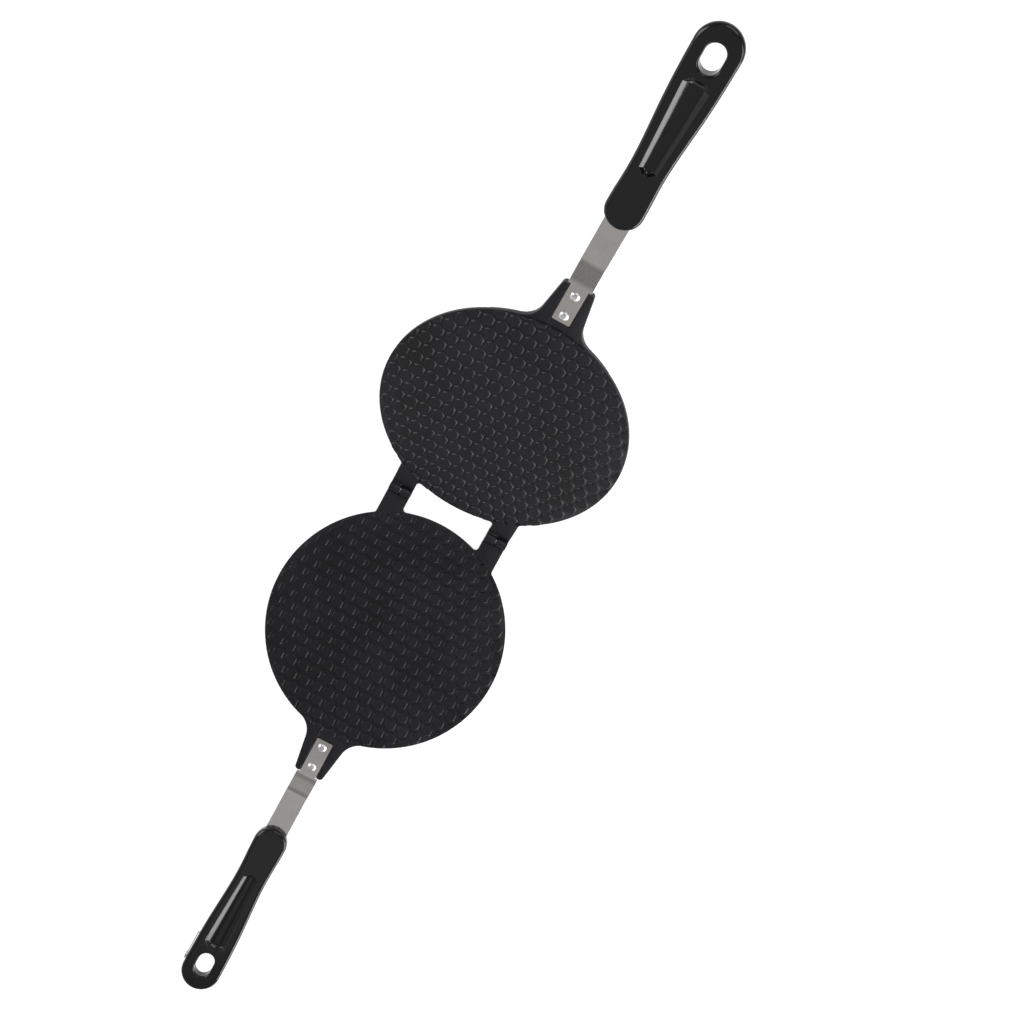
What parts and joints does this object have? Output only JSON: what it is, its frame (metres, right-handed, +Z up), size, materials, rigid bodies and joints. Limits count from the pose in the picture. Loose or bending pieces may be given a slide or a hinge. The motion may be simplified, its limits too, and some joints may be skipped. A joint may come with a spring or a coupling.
{
  "type": "egg roll pan",
  "caption": "Hinged egg roll pan: two round coated cast plates with honeycomb faces, steel strips, black handles and a locking hook, standing open.",
  "frame": {"origin": "centre of the footprint, on the surface the pan lies on", "axes": "+X along the hinge, +Y from the lower handle towards the upper handle, +Z up"},
  "size_m": [0.18, 0.7418, 0.251],
  "materials": {
    "coated_aluminium": "cast, with a dark satin non-stick coating",
    "black_bakelite": "smooth moulded, softly glossy",
    "brushed_stainless": "brushed lengthwise",
    "bright_aluminium": "formed, semi-bright"
  },
  "bodies": {
    "lower_half": {"lower_plate": "coated_aluminium", "left_hinge_pin": "brushed_stainless", "right_hinge_pin": "brushed_stainless", "lower_tang": "brushed_stainless", "lower_rivet_inner": "bright_aluminium", "lower_rivet_outer": "bright_aluminium", "lower_handle": "black_bakelite", "latch_pin": "brushed_stainless"},
    "upper_half": {"upper_plate": "coated_aluminium", "upper_tang": "brushed_stainless", "upper_rivet_inner": "bright_aluminium", "upper_rivet_outer": "bright_aluminium", "upper_handle": "black_bakelite"},
    "latch": {"latch_hook": "brushed_stainless"}
  },
  "joints": [
    {"name": "plate_hinge", "type": "hinge", "parent": "lower_half", "child": "upper_half", "pos_m": [0, 0.03944, 0.00546], "axis": [1, 0, 0], "range_deg": [0, 141.2]},
    {"name": "hook_pivot", "type": "hinge", "parent": "lower_half", "child": "latch", "pos_m": [-0.01525, -0.35076, 0.0115], "axis": [-1, 0, 0], "range_deg": [0, 243]}
  ]
}
